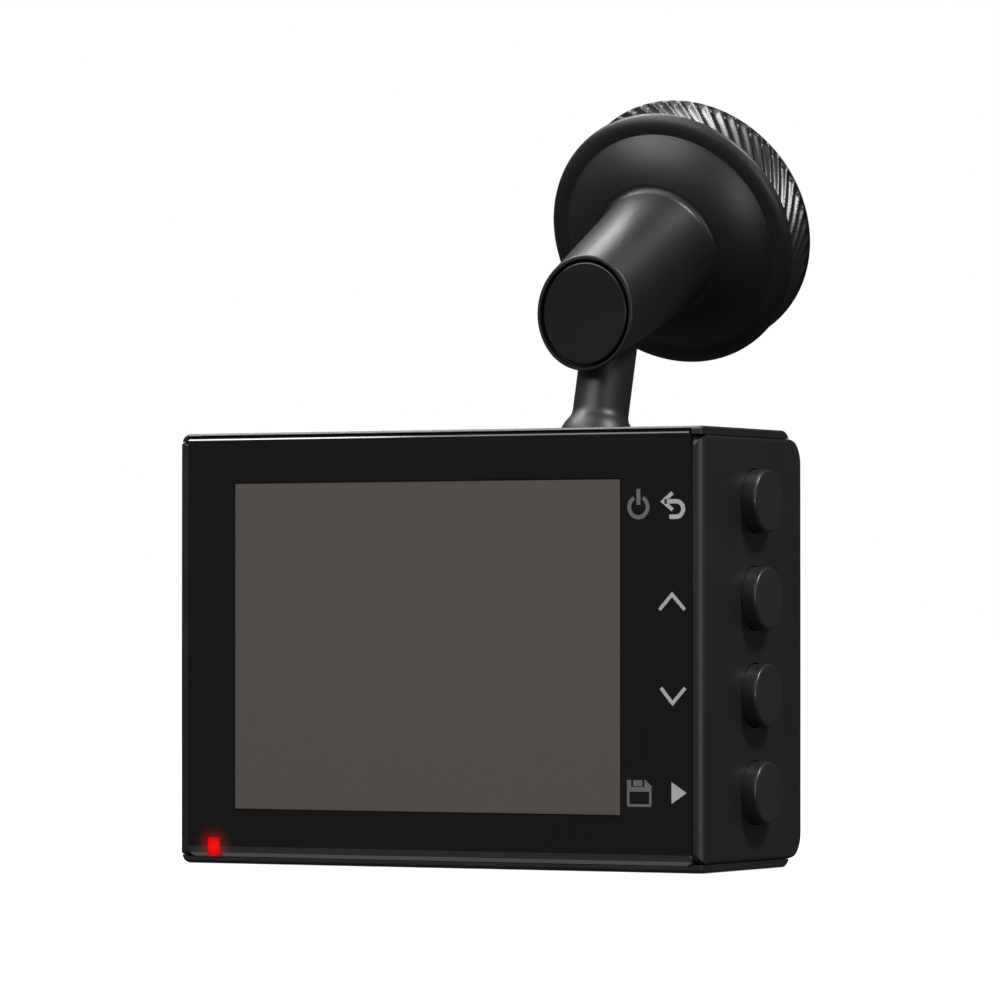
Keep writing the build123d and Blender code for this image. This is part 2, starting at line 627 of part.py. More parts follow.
# ---------------------------------------------------------------- glass and display
with BuildPart() as cover_glass:
    # bevelled along the top and in two facets along the bottom
    with BuildSketch(side_plane(-GLASS_W / 2)):
        Polygon((GLASS_T, GLASS_BOTTOM), (GLASS_FACETS_IN[1], GLASS_BOTTOM),
                (GLASS_FACETS_IN[0], GLASS_BOTTOM + GLASS_FOOT),
                (0, GLASS_BOTTOM + GLASS_FOOT + GLASS_LOWER_BEVEL),
                (0, GLASS_TOP - GLASS_TOP_BEVEL), (GLASS_TOP_BEVEL, GLASS_TOP),
                (GLASS_T, GLASS_TOP), align=None)
    extrude(amount=GLASS_W)
    with BuildSketch(rear_plane(GLASS_T)):
        with Locations((0, GLASS_UP)):
            RectangleRounded(GLASS_W, GLASS_H, GLASS_CORNER)
    extrude(amount=GLASS_T, mode=Mode.INTERSECT)
    with BuildSketch(level_plane(GLASS_BOTTOM)) as glass_plan:
        with Locations((0, GLASS_T / 2)):
            Rectangle(GLASS_W, GLASS_T)
        chamfer(glass_plan.vertices().group_by(Axis.Y)[0], GLASS_SIDE_BEVEL)
    extrude(amount=GLASS_H, mode=Mode.INTERSECT)
    with BuildSketch(rear_plane(GLASS_T)):
        with Locations((LED_X, GLASS_BOTTOM + PIPE_H / 2 - EPS / 2)):
            Rectangle(PIPE_W + 0.1, PIPE_H + EPS)
    extrude(amount=GLASS_T, mode=Mode.SUBTRACT)
save(cover_glass, "cover_glass")

with BuildPart() as glass_tape:
    with BuildSketch(rear_plane(FRAME_START)):
        Rectangle(TAPE_W, TAPE_H)
        with Locations((SCREEN_X, GLASS_UP)):
            Rectangle(SCREEN_W + TAPE_MARGIN, SCREEN_H + TAPE_MARGIN, mode=Mode.SUBTRACT)
        with Locations((LED_X, PIPE_LEG_Z)):
            Rectangle(PIPE_W + 0.2, 2 * PIPE_LEG_H, mode=Mode.SUBTRACT)
    extrude(amount=TAPE_T)
save(glass_tape, "glass_tape")

with BuildPart() as display_frame:
    with BuildSketch(rear_plane(FRAME_START + FRAME_T)):
        Rectangle(TAPE_W, TAPE_H)
        with Locations((SCREEN_X, GLASS_UP)):
            Rectangle(LCD_W + 2 * RUNNING_GAP, LCD_H + 2 * RUNNING_GAP, mode=Mode.SUBTRACT)
        with Locations((LED_X, PIPE_LEG_Z)):
            Rectangle(PIPE_W + 0.2, 2 * PIPE_LEG_H, mode=Mode.SUBTRACT)
    extrude(amount=FRAME_T)
save(display_frame, "display_frame")

with BuildPart() as lcd_panel:
    with BuildSketch(rear_plane(FRAME_START + LCD_T)):
        with Locations((SCREEN_X, GLASS_UP)):
            Rectangle(LCD_W, LCD_H)
    extrude(amount=LCD_T)
save(lcd_panel, "lcd_panel")

with BuildPart() as backlight:
    with BuildSketch(rear_plane(FRAME_START + FRAME_T)):
        with Locations((SCREEN_X, GLASS_UP)):
            Rectangle(LCD_W, LCD_H)
    extrude(amount=FRAME_T - LCD_T)
save(backlight, "backlight")

with BuildPart() as light_pipe:
    with BuildSketch(rear_plane(GLASS_T)):
        with Locations((LED_X, GLASS_BOTTOM + PIPE_H / 2)):
            Rectangle(PIPE_W, PIPE_H)
    extrude(amount=GLASS_T - PIPE_SUNK)
    with BuildSketch(rear_plane(PIPE_END - RUNNING_GAP)):
        with Locations((LED_X, PIPE_LEG_Z)):
            Rectangle(PIPE_W, PIPE_LEG_H)
    extrude(amount=PIPE_END - RUNNING_GAP - GLASS_T)
save(light_pipe, "light_pipe")

with BuildPart() as status_led:
    with BuildSketch(rear_plane(MAIN_BOARD_START)):
        with Locations((LED_X, PIPE_LEG_Z)):
            Rectangle(PIPE_W, PIPE_LEG_H)
    extrude(amount=LED_T)
save(status_led, "status_led")

# ---------------------------------------------------------------- buttons
for label, z in zip(BUTTON_NAMES, BUTTON_Z):
    with BuildPart() as button:
        with BuildSketch(side_plane(FLANGE_START)):
            with Locations((BUTTON_DEPTH_Y, z)):
                Circle(BUTTON_FLANGE_R)
        extrude(amount=BUTTON_FLANGE_T)
        with BuildSketch(side_plane(FLANGE_START)):
            with Locations((BUTTON_DEPTH_Y, z)):
                Circle(BUTTON_R)
        extrude(amount=HALF_W + BUTTON_PROUD - FLANGE_START)
        fillet(button.faces().sort_by(Axis.X)[-1].edges(), BUTTON_EDGE)
    save(button, label)

with BuildPart() as switches:
    with BuildSketch(side_plane(SWITCH_START)):
        for z in BUTTON_Z:
            with Locations((BUTTON_DEPTH_Y, z)):
                Rectangle(SWITCH_W, SWITCH_W)
    extrude(amount=SWITCH_T)
save(switches, "switches")

with BuildPart() as button_board:
    with BuildSketch(side_plane(SWITCH_START - BOARD_T)):
        with Locations((BUTTON_DEPTH_Y, GLASS_UP)):
            Rectangle(*BUTTON_BOARD_SIZE)
    extrude(amount=BOARD_T)
save(button_board, "button_board")

# ---------------------------------------------------------------- boards and electronics
with BuildPart() as main_board:
    with BuildSketch(rear_plane(MAIN_BOARD_START + BOARD_T)):
        with Locations((MAIN_BOARD_X, 0)):
            Rectangle(*MAIN_BOARD_SIZE)
        with Locations(*POSTS):
            Circle(SCREW_HOLE_R, mode=Mode.SUBTRACT)
    extrude(amount=BOARD_T)
save(main_board, "main_board")

with BuildPart() as board_screws:
    with BuildSketch(rear_plane(MAIN_BOARD_START)):
        with Locations(*POSTS):
            Circle(SCREW_HEAD_R)
    extrude(amount=SCREW_HEAD_T)
    with BuildSketch(rear_plane(MAIN_BOARD_START)):
        with Locations(*POSTS):
            Circle(POST_HOLE_R)
    extrude(amount=-(BOARD_T + POST_HOLE_DEPTH[0] - 0.2))
save(board_screws, "board_screws")

with BuildPart() as processor_shield:
    with BuildSketch(rear_plane(CHIP_START + SHIELD_T)):
        with Locations(SHIELD_PLACE):
            RectangleRounded(*SHIELD_SIZE)
    extrude(amount=SHIELD_T)
save(processor_shield, "processor_shield")

with BuildPart() as card_socket:
    with BuildSketch(rear_plane(CHIP_START + SLOT_T)):
        with Locations((CARD_X, SLOT_FLOOR + SLOT_L / 2)):
            Rectangle(SLOT_W, SLOT_L)
    extrude(amount=SLOT_T)
    with BuildSketch(rear_plane(CARD_START_Y + CARD_T + CARD_GAP / 2)):
        with Locations((CARD_X, SLOT_FLOOR + SLOT_L / 2 - SLOT_END_WALL)):
            Rectangle(CARD_W + CARD_GAP, SLOT_L)
    extrude(amount=CARD_T + CARD_GAP, mode=Mode.SUBTRACT)
save(card_socket, "card_socket")

with BuildPart() as memory_card:
    with BuildSketch(rear_plane(CARD_START_Y + CARD_T)):
        with Locations((CARD_X, CARD_BOTTOM + (CARD_L - CARD_HEEL) / 2)):
            RectangleRounded(CARD_W, CARD_L - CARD_HEEL, CARD_CORNER)
    extrude(amount=CARD_T)
save(memory_card, "memory_card")

with BuildPart() as usb_socket:
    with BuildSketch(side_plane(-HALF_W + USB_IN)):
        with Locations((USB_Y, USB_Z)):
            RectangleRounded(USB_T, USB_W, 0.7)
    extrude(amount=USB_L)
    with BuildSketch(side_plane(-HALF_W + USB_IN)):
        with Locations((USB_Y, USB_Z)):
            RectangleRounded(USB_T - 2 * USB_WALL, USB_W - 2 * USB_WALL, 0.5)
            Rectangle(*USB_TONGUE, mode=Mode.SUBTRACT)
    extrude(amount=USB_L - 1.0, mode=Mode.SUBTRACT)
save(usb_socket, "usb_socket")

with BuildPart() as battery:
    with BuildSketch(rear_plane(BATTERY_END)):
        with Locations(BATTERY_PLACE):
            RectangleRounded(*BATTERY_SIZE)
    extrude(amount=BATTERY_T)
    fillet(battery.faces().filter_by(Axis.Y).edges(), BATTERY_EDGE)
save(battery, "battery")

with BuildPart() as speaker:
    with BuildSketch(level_plane(-CAM_H / 2 + TOP_WALL)):
        with Locations((SPEAKER_X, SPEAKER_Y)):
            Circle(SPEAKER_R)
    extrude(amount=SPEAKER_T)
save(speaker, "speaker")

with BuildPart() as microphone:
    with BuildSketch(rear_plane(SHELL_END)):
        with Locations((MIC_X, MIC_Z)):
            Circle(MIC_R)
    extrude(amount=MIC_T)
save(microphone, "microphone")

# ---------------------------------------------------------------- lens
lens_axis = Axis((CAM_X + LENS_X, REAR_Y, CAM_Z), (0, 1, 0))
lens_profile = Plane(origin=(CAM_X + LENS_X, REAR_Y, CAM_Z), x_dir=(1, 0, 0), z_dir=(0, 0, 1))

with BuildPart() as lens_bezel:
    with BuildSketch(lens_profile):
        with BuildLine():
            Polyline((LENS_HOLE_R - 0.1, 17.6), (LENS_HOLE_R - 0.1, CAM_D + LENS_PROUD - 0.3),
                     (LENS_HOLE_R - 0.4, CAM_D + LENS_PROUD), (LENS_HOLE_R - 1.2, CAM_D + LENS_PROUD),
                     (LENS_GLASS_R + 0.5, 19.2), (LENS_GLASS_R + 0.5, 18.2),
                     (LENS_BARREL_R + 0.1, 18.2), (LENS_BARREL_R + 0.1, 17.6), close=True)
        make_face()
    revolve(axis=lens_axis)
save(lens_bezel, "lens_bezel")

with BuildPart() as lens_barrel:
    with BuildSketch(lens_profile):
        with BuildLine():
            Polyline((LENS_BARREL_R, 10.6), (LENS_BARREL_R, 18.1), (LENS_GLASS_R + 0.05, 18.1),
                     (LENS_GLASS_R + 0.05, 16.6), (3.2, 16.6), (3.2, 12.4), (2.4, 12.4),
                     (2.4, 10.6), close=True)
        make_face()
    revolve(axis=lens_axis)
save(lens_barrel, "lens_barrel")

DOME_EDGE = 18.0
DOME_RISE = 1.1
with BuildPart() as front_lens:
    with BuildSketch(lens_profile):
        with BuildLine():
            Line((0, 16.65), (LENS_GLASS_R, 16.65))
            Line((LENS_GLASS_R, 16.65), (LENS_GLASS_R, DOME_EDGE))
            RadiusArc((LENS_GLASS_R, DOME_EDGE), (0, DOME_EDGE + DOME_RISE),
                      -(LENS_GLASS_R ** 2 + DOME_RISE ** 2) / (2 * DOME_RISE))
            Line((0, DOME_EDGE + DOME_RISE), (0, 16.65))
        make_face()
    revolve(axis=lens_axis)
save(front_lens, "front_lens")

with BuildPart() as rear_lens:
    with BuildSketch(lens_profile):
        Polygon((0, 12.45), (3.15, 12.45), (3.15, 14.4), (0, 14.4), align=None)
    revolve(axis=lens_axis)
save(rear_lens, "rear_lens")

with BuildPart() as lens_holder:
    with BuildSketch(rear_plane(10.5)):
        with Locations((LENS_X, 0)):
            RectangleRounded(15.0, 15.0, 1.0)
    extrude(amount=10.5 - SENSOR_BOARD_START - BOARD_T)
    with BuildSketch(rear_plane(9.5)):
        with Locations((LENS_X, 0)):
            Rectangle(9.0, 9.0)
    extrude(amount=2.0, mode=Mode.SUBTRACT)
    with BuildSketch(rear_plane(10.5)):
        with Locations((LENS_X, 0)):
            Circle(2.4)
    extrude(amount=2.0, mode=Mode.SUBTRACT)
save(lens_holder, "lens_holder")

with BuildPart() as sensor_board:
    with BuildSketch(rear_plane(SENSOR_BOARD_START + BOARD_T)):
        with Locations((LENS_X, 0)):
            Rectangle(*SENSOR_BOARD_SIZE)
    extrude(amount=BOARD_T)
save(sensor_board, "sensor_board")

with BuildPart() as image_sensor:
    with BuildSketch(rear_plane(SENSOR_BOARD_START + BOARD_T + SENSOR_T)):
        with Locations((LENS_X, 0)):
            Rectangle(*SENSOR_SIZE)
    extrude(amount=SENSOR_T)
save(image_sensor, "image_sensor")
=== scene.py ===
"""Looks of the dash camera and its windshield mount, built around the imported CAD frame.

Metres, in the part's own frame: +X to the driver's right, +Y forward, +Z up.
"""
import json
import math

import bmesh
import bpy
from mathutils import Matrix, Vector

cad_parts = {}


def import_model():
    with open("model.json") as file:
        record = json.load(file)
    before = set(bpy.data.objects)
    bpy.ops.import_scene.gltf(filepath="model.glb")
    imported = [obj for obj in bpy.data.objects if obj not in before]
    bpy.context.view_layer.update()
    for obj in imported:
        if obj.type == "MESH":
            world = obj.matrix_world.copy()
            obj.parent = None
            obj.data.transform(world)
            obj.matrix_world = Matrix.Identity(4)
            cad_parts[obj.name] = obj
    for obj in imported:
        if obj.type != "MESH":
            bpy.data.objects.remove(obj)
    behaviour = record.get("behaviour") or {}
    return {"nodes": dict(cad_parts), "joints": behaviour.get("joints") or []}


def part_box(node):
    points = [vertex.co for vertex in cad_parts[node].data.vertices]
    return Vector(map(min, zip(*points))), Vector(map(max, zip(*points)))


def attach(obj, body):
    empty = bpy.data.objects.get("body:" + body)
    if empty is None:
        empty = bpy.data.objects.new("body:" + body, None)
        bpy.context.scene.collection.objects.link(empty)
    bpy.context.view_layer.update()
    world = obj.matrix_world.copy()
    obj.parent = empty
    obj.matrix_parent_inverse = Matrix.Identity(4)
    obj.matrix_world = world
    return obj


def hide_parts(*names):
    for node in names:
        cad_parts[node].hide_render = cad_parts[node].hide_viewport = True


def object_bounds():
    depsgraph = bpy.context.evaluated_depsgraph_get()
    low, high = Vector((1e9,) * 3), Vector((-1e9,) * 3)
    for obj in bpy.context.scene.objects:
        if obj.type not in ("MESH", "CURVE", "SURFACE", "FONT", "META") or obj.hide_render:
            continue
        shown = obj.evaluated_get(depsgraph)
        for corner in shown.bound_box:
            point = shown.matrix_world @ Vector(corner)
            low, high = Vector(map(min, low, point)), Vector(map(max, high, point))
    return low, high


MM = 0.001

# Camera, at the photograph's viewing angle
CAMERA_PLACE = (0.26323, -0.52827, -0.03880)
CAMERA_YAW = 28.332
CAMERA_PITCH = 1.132
CAMERA_LENS = 219.93
CAMERA_SENSOR = 36.0
CAMERA_CLIP = (0.02, 50.0)

# Display window and print on the cover glass, from the housing's centre, in mm
SCREEN_SIZE = (40.8, 30.6)
SCREEN_CENTRE = (-1.0, 0.2)
WINDOW_EDGE = 0.14  # width of the dark line round the window
WINDOW_SOFTNESS = 0.02
REFLECTION_BAND_TOPS = (0.35, 0.95)  # tops of the two bands along the glass's bottom edge, from its bottom; a reflection is painted on them
PRINT_PROUD = 0.015
PRINT_SUNK = 0.05
MITRE_LIMIT = 0.3  # least cosine of a corner's half angle that a line's mitre follows

# Glow of the status light on the glass
GLOW_REACH = 2.6  # in mm
GLOW_FALLOFF = 2.6
GLOW_STRENGTH = 0.30

# Grip ring of the mount, in mm
RIDGES = 54
RIDGE_SLANT = 38.5
RIDGE_DEPTH = 0.45
RIDGE_LIP = 0.25
RIDGE_SHARPNESS = 0.45  # under 1, the ridges are narrower than the grooves
RING_ROUNDING = 0.25
RING_WALL = 3.6
SKIRT_WALL = 1.35
SKIRT_LENGTH = 0.8
RING_ROWS = 24
ROUNDING_STEPS = 5
COLUMNS_PER_RIDGE = 16

# Set, in metres: the floor glows a little less near the object than far from it
FLOOR_RADIUS = 6.0
DOME_RADIUS = 6.5
FLOOR_GAP = 0.00005
NEAR, FAR = 0.12, 0.9
FLOOR_GLOW = (0.72, 1.0)
BACKDROP_GLOW = (1.0, 1.0)
WORLD_STRENGTH = 0.06
LIGHTS_AIM = (-0.010, -0.020, -0.025)

# Area lights: direction from the object, distance, width, height and radiance
LIGHTS = {
    "overhead": ((-0.45, -0.10, 0.88), 0.60, 0.60, 0.50, 3.4),
    "top_strip": ((-0.47, 0.24, 0.85), 0.60, 0.60, 0.10, 14.0),
    "upper_right": ((0.58, -0.02, 0.80), 0.55, 0.11, 0.11, 62.0),
    "side_right": ((0.72, -0.69, 0.10), 0.60, 0.09, 0.24, 11.0),
    "front_fill": ((-0.25, -0.75, 0.60), 0.80, 0.55, 0.40, 4.6),
}


# ---------------------------------------------------------------- frame and its measures
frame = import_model()
cad_low, cad_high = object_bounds()
joints = {j["name"]: j for j in frame["joints"]}
mount_axis = Vector(joints["arm_swivel"]["axis"]).normalized()
mount_origin = Vector(joints["arm_swivel"]["pos_m"])
mount_across = Vector((1, 0, 0))

shell_low, shell_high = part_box("main_shell")
glass_low, glass_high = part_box("cover_glass")
housing_x = (shell_low.x + shell_high.x) / 2
housing_z = (shell_low.z + shell_high.z) / 2
face_y = glass_low.y


def on_glass(x, z, out=0.0):
    """Point on the cover glass, x and z in mm from the housing's centre, out towards the driver."""
    return Vector((housing_x + x * MM, face_y - out * MM, housing_z + z * MM))


def along_axis(node):
    """Least and greatest distance of a CAD node's points along the mount's axis, and its radius."""
    distances, radius = [], 0.0
    for vertex in frame["nodes"][node].data.vertices:
        step = vertex.co - mount_origin
        distance = step.dot(mount_axis)
        distances.append(distance)
        radius = max(radius, (step - distance * mount_axis).length)
    return min(distances), max(distances), radius


# ---------------------------------------------------------------- node helpers
class Shader:
    """A new material with its Principled shader and short ways to add nodes to it."""

    def __init__(self, name, color=(0.02, 0.02, 0.02), roughness=0.4, metallic=0.0):
        self.material = bpy.data.materials.new(name)
        self.material.use_nodes = True
        self.tree = self.material.node_tree
        self.main = self.tree.nodes["Principled BSDF"]
        self.set("Base Color", (*color, 1.0))
        self.set("Roughness", roughness)
        self.set("Metallic", metallic)
        self.place = self.add("ShaderNodeTexCoord").outputs["Object"]

    def add(self, kind, **inputs):
        node = self.tree.nodes.new(kind)
        for key, value in inputs.items():
            self.feed(node.inputs[key.replace("_", " ")], value)
        return node

    def feed(self, socket, value):
        if isinstance(value, bpy.types.NodeSocket):
            self.tree.links.new(value, socket)
        else:
            socket.default_value = value

    def set(self, name, value):
        self.feed(self.main.inputs[name], value)

    def math(self, operation, a, b=0.0, clamp=False):
        node = self.tree.nodes.new("ShaderNodeMath")
        node.operation = operation
        node.use_clamp = clamp
        self.feed(node.inputs[0], a)
        self.feed(node.inputs[1], b)
        return node.outputs[0]

    def noise(self, size, detail=3.0, place=None):
        """Noise with features of about this size in metres; 0 to 1."""
        node = self.add("ShaderNodeTexNoise", Scale=1.0 / size, Detail=detail)
        self.feed(node.inputs["Vector"], place or self.place)
        return node.outputs["Factor"] if "Factor" in node.outputs else node.outputs[0]

    def spread(self, value, low, high, new_low, new_high):
        """Value from the range low..high carried to new_low..new_high, held at its ends."""
        node = self.add("ShaderNodeMapRange")
        for socket, v in zip(node.inputs, (value, low, high, new_low, new_high)):
            self.feed(socket, v)
        return node.outputs[0]

    def vary(self, noise, low, high):
        """Noise carried to the range low..high, which its middle values fill."""
        return self.spread(noise, 0.3, 0.7, low, high)

    def mix(self, share, a, b):
        """Colour from a to b."""
        node = self.tree.nodes.new("ShaderNodeMix")
        node.data_type = "RGBA"
        self.feed(node.inputs["Factor"], share)
        for name, value in (("A", a), ("B", b)):
            socket = [s for s in node.inputs if s.name == name and s.type == "RGBA"][0]
            self.feed(socket, (*value, 1.0) if isinstance(value, tuple) else value)
        return [s for s in node.outputs if s.type == "RGBA"][0]

    def edges(self, radius):
        """0 on flat surfaces, rising to 1 along edges within this radius."""
        bevel = self.tree.nodes.new("ShaderNodeBevel")
        bevel.samples = 4
        bevel.inputs["Radius"].default_value = radius
        normal = self.add("ShaderNodeNewGeometry").outputs["Normal"]
        dot = self.tree.nodes.new("ShaderNodeVectorMath")
        dot.operation = "DOT_PRODUCT"
        self.feed(dot.inputs[0], bevel.outputs[0])
        self.feed(dot.inputs[1], normal)
        flat, edge = 0.999, 0.86
        return self.spread(dot.outputs["Value"], flat, edge, 0.0, 1.0)

    def bump(self, height, depth, strength=1.0):
        """Relief of this depth in metres on the shader's normal."""
        node = self.add("ShaderNodeBump", Height=height, Distance=depth, Strength=strength)
        self.set("Normal", node.outputs["Normal"])


def scaled(color, factor):
    """Colour made brighter or darker."""
    return tuple(min(1.0, c * factor) for c in color)


def moulded(name, color, roughness, grain=0.00022):
    """Moulded plastic: fine spark grain, slight flow variation, edges rubbed a little brighter."""
    s = Shader(name, color, roughness)
    fine = s.noise(grain, 2.0)
    broad = s.noise(0.012, 2.0)
    rubbed = s.edges(0.00022)
    wear, polish = s.math("MULTIPLY", rubbed, 0.6), s.math("MULTIPLY", rubbed, 0.08)
    varied = s.mix(s.vary(broad, 0.0, 1.0), scaled(color, 0.9), scaled(color, 1.12))
    s.set("Base Color", s.mix(wear, varied, scaled(color, 1.9)))
    level = s.vary(broad, roughness - 0.03, roughness + 0.03)
    s.set("Roughness", s.math("SUBTRACT", level, polish))
    s.set("Specular IOR Level", 0.5)
    s.bump(fine, depth=0.000006)
    return s.material


def foam(name, color):
    """Foam tape: open fine cells and a dry surface."""
    s = Shader(name, color, 0.85)
    cells = s.add("ShaderNodeTexVoronoi", Scale=1.0 / 0.0003)
    s.feed(cells.inputs["Vector"], s.place)
    pores = cells.outputs["Distance"]
    wall = 0.6
    share = s.spread(pores, 0.0, wall, 0.0, 1.0)
    s.set("Base Color", s.mix(share, scaled(color, 0.6), scaled(color, 1.3)))
    s.set("Roughness", s.spread(pores, 0.0, wall, 0.95, 0.75))
    s.bump(pores, depth=0.00003)
    return s.material


def plated(name, color, roughness=0.28):
    """Plated steel with a fine drawn grain."""
    s = Shader(name, color, roughness, 1.0)
    stretch = s.add("ShaderNodeMapping", Vector=s.place)
    stretch.inputs["Scale"].default_value = (1.0, 12.0, 1.0)
    lines = s.noise(0.0006, 4.0, stretch.outputs[0])
    s.set("Base Color", s.mix(lines, scaled(color, 0.85), scaled(color, 1.1)))
    s.set("Roughness", s.vary(lines, roughness - 0.06, roughness + 0.1))
    s.bump(lines, depth=0.000003)
    return s.material


def board(name, color):
    """Circuit board: solder mask over faint copper tracks."""
    s = Shader(name, color, 0.35)
    tracks = s.add("ShaderNodeTexBrick", Scale=1.0 / 0.004, Mortar_Size=0.03)
    s.feed(tracks.inputs["Vector"], s.place)
    share = s.spread(tracks.outputs["Fac"], 0.0, 1.0, 0.0, 1.0)
    s.set("Base Color", s.mix(share, color, scaled(color, 2.2)))
    s.set("Roughness", s.vary(s.noise(0.002), 0.3, 0.42))
    s.bump(share, depth=0.00002)
    return s.material


def sheeted(name, color, roughness, size=0.004, depth=0.000004):
    """Smooth manufactured surface with slight unevenness."""
    s = Shader(name, color, roughness)
    uneven = s.noise(size, 3.0)
    s.set("Base Color", s.mix(uneven, scaled(color, 0.92), scaled(color, 1.06)))
    s.set("Roughness", s.vary(uneven, roughness - 0.04, roughness + 0.04))
    s.bump(s.noise(size / 12), depth)
    return s.material


def optical(name):
    """Coated lens: dark glass whose coating tints the reflection towards its edge."""
    s = Shader(name, (0.01, 0.012, 0.02), 0.04)
    facing = s.add("ShaderNodeLayerWeight", Blend=0.35).outputs["Facing"]
    violet, green = (0.03, 0.008, 0.05), (0.01, 0.05, 0.045)
    s.set("Base Color", s.mix(s.spread(facing, 0.05, 0.6, 0.0, 1.0), violet, green))
    s.set("Roughness", s.vary(s.noise(0.003), 0.03, 0.06))
    s.set("Coat Weight", 1.0)
    s.set("Coat Roughness", 0.02)
    s.set("Coat Tint", (0.55, 0.4, 0.95, 1.0))
    return s.material


BLACK_PRINT = (0.0108, 0.0108, 0.0108)
WINDOW_COLOR = (0.122, 0.108, 0.0975)
EDGE_COLOR = (0.003, 0.003, 0.003)
# painted reflection on the glass's bottom edge: a grey band, and a brighter strip below it
FACET_REFLECTION_COLOR = (0.062, 0.062, 0.062)
FOOT_REFLECTION_COLOR = (0.28, 0.28, 0.28)


def past_edge(s, value, middle, width):
    """How far a coordinate lies outside a span of this width in mm; negative inside it."""
    away = s.math("ABSOLUTE", s.math("SUBTRACT", value, middle))
    return s.math("SUBTRACT", away, width / 2 * MM)


def printed_glass(name):
    """Cover glass printed black behind, except at the display's window, under a polished face, with
    a painted reflection along its bottom edge.
    """
    s = Shader(name, BLACK_PRINT, 0.08)
    x, _, z = s.add("ShaderNodeSeparateXYZ", Vector=s.place).outputs
    centre = on_glass(*SCREEN_CENTRE)
    off = s.math("MAXIMUM", past_edge(s, x, centre.x, SCREEN_SIZE[0]),
                 past_edge(s, z, centre.z, SCREEN_SIZE[1]))
    soft = WINDOW_SOFTNESS * MM
    window = s.mix(s.noise(0.0011, 2.0), scaled(WINDOW_COLOR, 0.985), scaled(WINDOW_COLOR, 1.015))
    printed = s.mix(s.noise(0.02, 2.0), scaled(BLACK_PRINT, 0.94), scaled(BLACK_PRINT, 1.06))
    at_edge = s.spread(off, WINDOW_EDGE * MM, WINDOW_EDGE * MM + soft, 0.0, 1.0)
    around = s.mix(at_edge, EDGE_COLOR, printed)
    face = s.mix(s.spread(off, -soft, soft, 0.0, 1.0), window, around)
    # painted reflection: two bands along the bottom edge are painted lighter grey, the lowest one
    # brightest; the upper band is also rougher
    height = s.math("SUBTRACT", z, glass_low.z)
    foot_reflection_band, facet_reflection_band = [s.spread(height, top * MM, top * MM + soft, 1.0, 0.0) for top in REFLECTION_BAND_TOPS]
    s.set("Base Color", s.mix(facet_reflection_band, face, s.mix(foot_reflection_band, FACET_REFLECTION_COLOR, FOOT_REFLECTION_COLOR)))
    polish = s.vary(s.noise(0.006), 0.05, 0.09)
    s.set("Roughness", s.math("ADD", polish, s.math("MULTIPLY", facet_reflection_band, 0.25)))
    s.set("IOR", 1.5)
    red_glow(s)
    s.bump(s.noise(0.009, 1.0), depth=0.0000004)
    return s.material


def from_light(s):
    """Distance from the status light's centre across the glass, as a share of the glow's reach."""
    low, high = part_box("light_pipe")
    x, _, z = s.add("ShaderNodeSeparateXYZ", Vector=s.place).outputs
    dx = s.math("SUBTRACT", x, (low.x + high.x) / 2)
    dz = s.math("SUBTRACT", z, (low.z + high.z) / 2)
    square = s.math("ADD", s.math("MULTIPLY", dx, dx), s.math("MULTIPLY", dz, dz))
    return s.math("DIVIDE", s.math("SQRT", square), GLOW_REACH * MM)


def red_glow(s):
    """Red light spilling on a surface round the status light."""
    nearness = s.math("SUBTRACT", 1.0, from_light(s), clamp=True)
    falloff = s.math("POWER", nearness, GLOW_FALLOFF)
    s.set("Emission Color", (1.0, 0.012, 0.008, 1.0))
    s.set("Emission Strength", s.math("MULTIPLY", falloff, GLOW_STRENGTH))


def lit_red(name):
    """Clear red light guide, brightest at its middle."""
    s = Shader(name, (0.6, 0.01, 0.008), 0.2)
    uneven = s.noise(0.0006, 2.0)
    deep, clear = (0.20, 0.002, 0.002), (0.28, 0.004, 0.003)
    s.set("Base Color", s.mix(uneven, deep, clear))
    s.set("Emission Color", (1.0, 0.002, 0.002, 1.0))
    glow = s.spread(from_light(s), 0.08, 0.42, 0.85, 0.22)
    s.set("Emission Strength", s.math("MULTIPLY", glow, s.vary(uneven, 0.85, 1.1)))
    s.bump(uneven, depth=0.00001)
    return s.material


def ink(name, color):
    """Screen-printed ink, a little uneven and matt."""
    s = Shader(name, color, 0.5)
    grain = s.noise(0.00012, 2.0)
    s.set("Base Color", s.mix(grain, scaled(color, 0.92), scaled(color, 1.05)))
    s.set("Roughness", s.vary(grain, 0.45, 0.6))
    s.bump(grain, depth=0.000001)
    return s.material


# ---------------------------------------------------------------- materials of the CAD nodes
HOUSING = moulded("satin_black_housing", (0.0150, 0.0150, 0.0152), 0.44)
BUTTON = moulded("satin_black_buttons", (0.021, 0.021, 0.0213), 0.34, grain=0.00018)
# painted shade: the cap is made of the arm's satin black, darkened so that its front-facing end
# reads shaded
SHADE_DARKENED_CAP = moulded("satin_black_cap_painted_shade", (0.0045, 0.0045, 0.0046), 0.36)
ARM = moulded("satin_black_arm", (0.0115, 0.0115, 0.0117), 0.42)
RING = moulded("satin_black_ring", (0.010, 0.010, 0.0102), 0.30)
INNER = moulded("inner_black_plastic", (0.022, 0.022, 0.022), 0.5)
LENS_BLACK = moulded("matt_lens_black", (0.010, 0.010, 0.0105), 0.36, grain=0.0003)
CARD = moulded("card_black", (0.02, 0.02, 0.021), 0.45)
PAD = foam("foam_tape", (0.035, 0.035, 0.036))
STEEL = plated("plated_steel", (0.55, 0.55, 0.56))
BOARD = board("green_board", (0.015, 0.06, 0.033))
GLASS = printed_glass("printed_cover_glass")
LENS_GLASS = optical("coated_lens")
DISPLAY = sheeted("display_layers", (0.068, 0.060, 0.054), 0.25)
WHITE_SHEET = sheeted("white_light_guide", (0.8, 0.8, 0.78), 0.5)
SENSOR = sheeted("image_sensor", (0.05, 0.04, 0.07), 0.15, size=0.001)
BATTERY = sheeted("battery_pouch", (0.35, 0.36, 0.38), 0.3, size=0.003, depth=0.00001)
RED = lit_red("red_light_guide")

